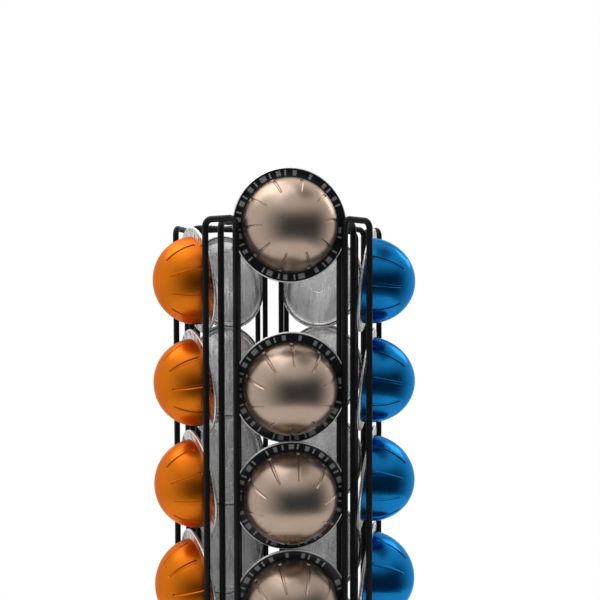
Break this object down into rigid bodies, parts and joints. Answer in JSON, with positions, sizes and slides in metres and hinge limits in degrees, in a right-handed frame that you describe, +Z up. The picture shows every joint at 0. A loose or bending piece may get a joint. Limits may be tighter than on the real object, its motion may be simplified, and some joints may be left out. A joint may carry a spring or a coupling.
{
  "type": "coffee capsule dispenser",
  "caption": "Revolving black wire tower that stacks domed coffee capsules in upright columns, leaning and overlapping, on a round base with a ball bearing.",
  "frame": {"origin": "on the tower's axis, at the surface it stands on", "axes": "+Z up along the tower's axis; the front column faces -Y and the right column lies towards +X"},
  "size_m": [0.169, 0.169, 0.5165],
  "materials": {
    "black_wire": "satin",
    "black_sheet": "satin",
    "capsule_bronze": "satin",
    "capsule_orange": "satin",
    "capsule_blue": "satin",
    "rim_black": "satin",
    "rim_silver": "satin",
    "capsule_foil": "satin",
    "bearing_steel": "satin",
    "zinc_steel": "satin",
    "nylon": "matte",
    "rubber": "matte"
  },
  "bodies": {
    "base": {"base_dish": "black_sheet", "foot_ring": "rubber", "lower_race": "bearing_steel", "spindle_bolt": "zinc_steel", "spindle_washer": "zinc_steel", "domed_nut": "zinc_steel"},
    "bearing_cage": {"ball_cage": "nylon"},
    "carousel": {"turntable_plate": "black_sheet", "upper_race": "bearing_steel", "spindle_bush": "nylon", "hairpin_front_right": "black_wire", "hairpin_rear_right": "black_wire", "hairpin_back": "black_wire", "hairpin_rear_left": "black_wire", "hairpin_front_left": "black_wire", "star_wire_front_right": "black_wire", "star_wire_rear_right": "black_wire", "star_wire_back": "black_wire", "star_wire_rear_left": "black_wire", "star_wire_front_left": "black_wire", "capsule_front_2": "capsule_bronze", "capsule_front_3": "capsule_bronze", "capsule_front_4": "capsule_bronze", "capsule_front_5": "capsule_bronze", "capsule_front_6": "capsule_bronze", "capsule_front_7": "capsule_bronze", "capsule_front_8": "capsule_bronze", "capsule_right_2": "capsule_blue", "capsule_right_3": "capsule_blue", "capsule_right_4": "capsule_blue", "capsule_right_5": "capsule_blue", "capsule_right_6": "capsule_blue", "capsule_right_7": "capsule_blue", "capsule_right_8": "capsule_blue", "capsule_back_right_2": "capsule_orange", "capsule_back_right_3": "capsule_orange", "capsule_back_right_4": "capsule_orange", "capsule_back_right_5": "capsule_orange", "capsule_back_right_6": "capsule_orange", "capsule_back_right_7": "capsule_orange", "capsule_back_right_8": "capsule_orange", "capsule_back_left_2": "capsule_blue", "capsule_back_left_3": "capsule_blue", "capsule_back_left_4": "capsule_blue", "capsule_back_left_5": "capsule_blue", "capsule_back_left_6": "capsule_blue", "capsule_back_left_7": "capsule_blue", "capsule_back_left_8": "capsule_blue", "capsule_left_2": "capsule_orange", "capsule_left_3": "capsule_orange", "capsule_left_4": "capsule_orange", "capsule_left_5": "capsule_orange", "capsule_left_6": "capsule_orange", "capsule_left_7": "capsule_orange", "capsule_left_8": "capsule_orange"},
    "top_capsule_front": {"capsule_front_1": "capsule_bronze"},
    "top_capsule_right": {"capsule_right_1": "capsule_blue"},
    "top_capsule_back_right": {"capsule_back_right_1": "capsule_orange"},
    "top_capsule_back_left": {"capsule_back_left_1": "capsule_blue"},
    "top_capsule_left": {"capsule_left_1": "capsule_orange"}
  },
  "joints": [
    {"name": "carousel_spin", "type": "hinge", "parent": "base", "child": "carousel", "pos_m": [0, 0, 0.0184], "axis": [0, 0, 1], "continuous": true},
    {"name": "cage_spin", "type": "hinge", "parent": "base", "child": "bearing_cage", "pos_m": [0, 0, 0.0184], "axis": [0, 0, 1], "continuous": true},
    {"name": "draw_front_capsule", "type": "slide", "parent": "carousel", "child": "top_capsule_front", "axis": [0, 0, 1], "range_m": [-0.0285, 0.0365]},
    {"name": "draw_right_capsule", "type": "slide", "parent": "carousel", "child": "top_capsule_right", "axis": [0, 0, 1], "range_m": [0, 0.065]},
    {"name": "draw_back_right_capsule", "type": "slide", "parent": "carousel", "child": "top_capsule_back_right", "axis": [0, 0, 1], "range_m": [0, 0.065]},
    {"name": "draw_back_left_capsule", "type": "slide", "parent": "carousel", "child": "top_capsule_back_left", "axis": [0, 0, 1], "range_m": [0, 0.065]},
    {"name": "draw_left_capsule", "type": "slide", "parent": "carousel", "child": "top_capsule_left", "axis": [0, 0, 1], "range_m": [0, 0.065]}
  ],
  "couplings": [
    {"joint": "cage_spin", "follows": "carousel_spin", "ratio": 0.5}
  ]
}
